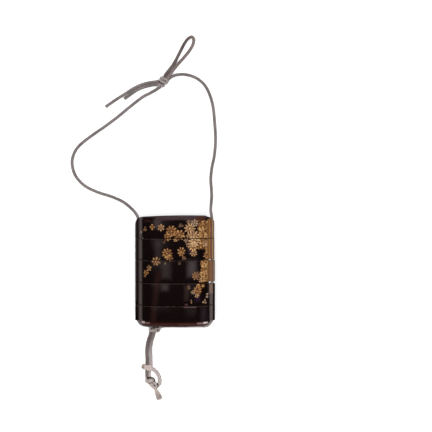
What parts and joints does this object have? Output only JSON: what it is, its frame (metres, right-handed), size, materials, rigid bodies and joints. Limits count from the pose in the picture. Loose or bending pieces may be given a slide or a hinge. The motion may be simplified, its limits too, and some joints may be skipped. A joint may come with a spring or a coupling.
{
  "type": "inro case",
  "caption": "Small lacquered box of stacked cases under a lift-off lid, strung on a silk cord that runs through a tube up each side.",
  "frame": {"origin": "middle of the case's back, in the plane of the flat that it lies on", "axes": "+X to the case's right seen from the front, +Y along the case towards the lid, +Z out of the front, up as it lies"},
  "size_m": [0.1097, 0.2733, 0.0217],
  "materials": {
    "lacquer": "polished dark brown-black lacquer with a gold sprinkled picture of blossoms",
    "gold": "sprinkled gold in lacquer, satin",
    "silk": "braided grey-brown silk, dull sheen",
    "silk_end": "loose frayed silk, pale"
  },
  "bodies": {
    "root": {"lid": "lacquer", "case_1": "lacquer", "case_2": "lacquer", "case_3": "lacquer", "case_4": "lacquer", "cord_left_arc": "silk", "cord_left_held": "silk", "cord_left_base": "silk", "cord_left_strand": "silk", "cord_left_tail": "silk", "cord_right_arc": "silk", "cord_right_held": "silk", "cord_right_base": "silk", "cord_right_strand": "silk", "cord_right_tail": "silk", "cord_loop": "silk", "cord_tail_long": "silk", "cord_tail_short": "silk", "knot_top": "silk", "knot_base": "silk", "knot_tail_upper": "silk", "knot_tail_lower": "silk", "frayed_end": "silk_end", "tuft": "silk_end"}
  },
  "joints": []
}
